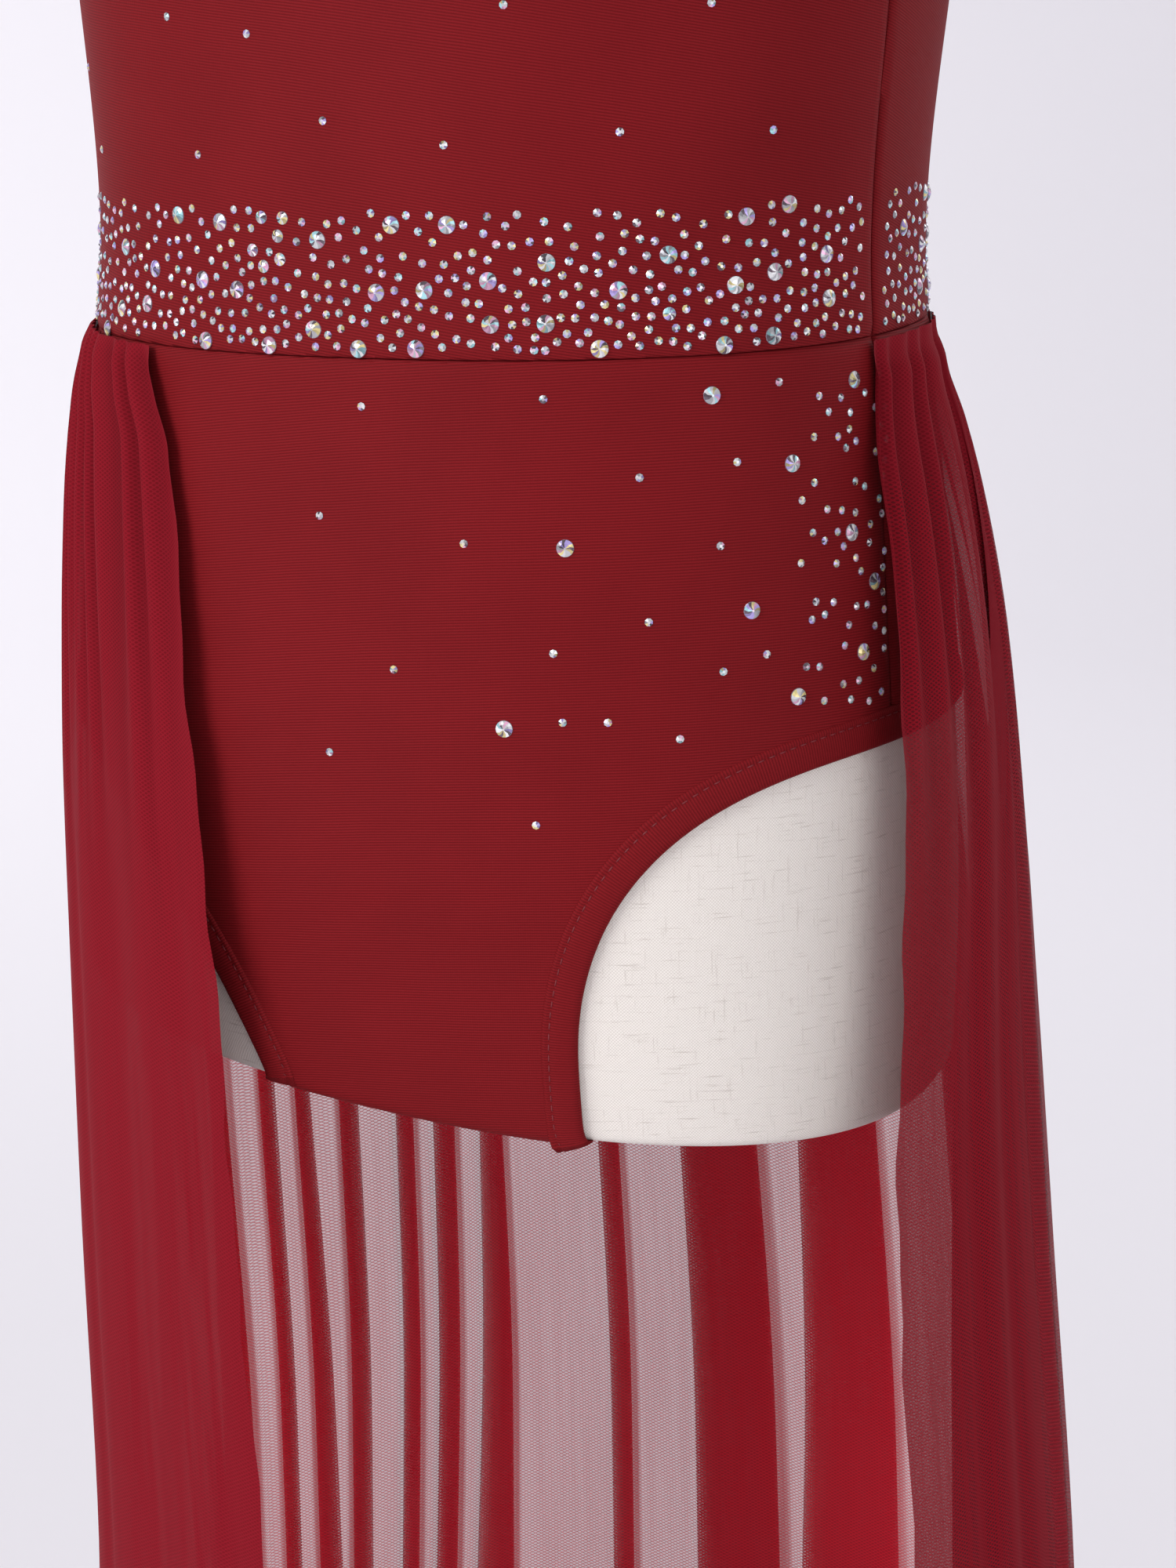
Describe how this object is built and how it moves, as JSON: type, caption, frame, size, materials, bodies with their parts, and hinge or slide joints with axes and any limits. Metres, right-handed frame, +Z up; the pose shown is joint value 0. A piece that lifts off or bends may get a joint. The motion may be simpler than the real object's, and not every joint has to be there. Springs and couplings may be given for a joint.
{
  "type": "lyrical dance dress on a limbless dress form",
  "caption": "Child's lyrical dance dress, ribbed leotard with stones and an open sheer mesh skirt, worn on a limbless linen torso form with a round stand.",
  "frame": {"origin": "middle of the bounding box, on the floor under the round base", "axes": "+Z up, +X to the wearer's left, -Y to the front of the dress"},
  "size_m": [0.3158, 0.3, 1.215],
  "materials": {
    "ribbed_cloth": "fine ribbed stretch knit, soft sheen",
    "mesh": "sheer fine mesh",
    "linen": "natural linen weave, matt",
    "stand": "satin pale grey paint"
  },
  "bodies": {
    "root": {"bodice_front": "ribbed_cloth", "bodice_back": "ribbed_cloth", "briefs_front": "ribbed_cloth", "briefs_back": "ribbed_cloth", "leg_band_left": "ribbed_cloth", "leg_band_right": "ribbed_cloth", "skirt": "mesh", "dress_form": "linen", "stand_pole": "stand", "stand_base": "stand"}
  },
  "joints": []
}
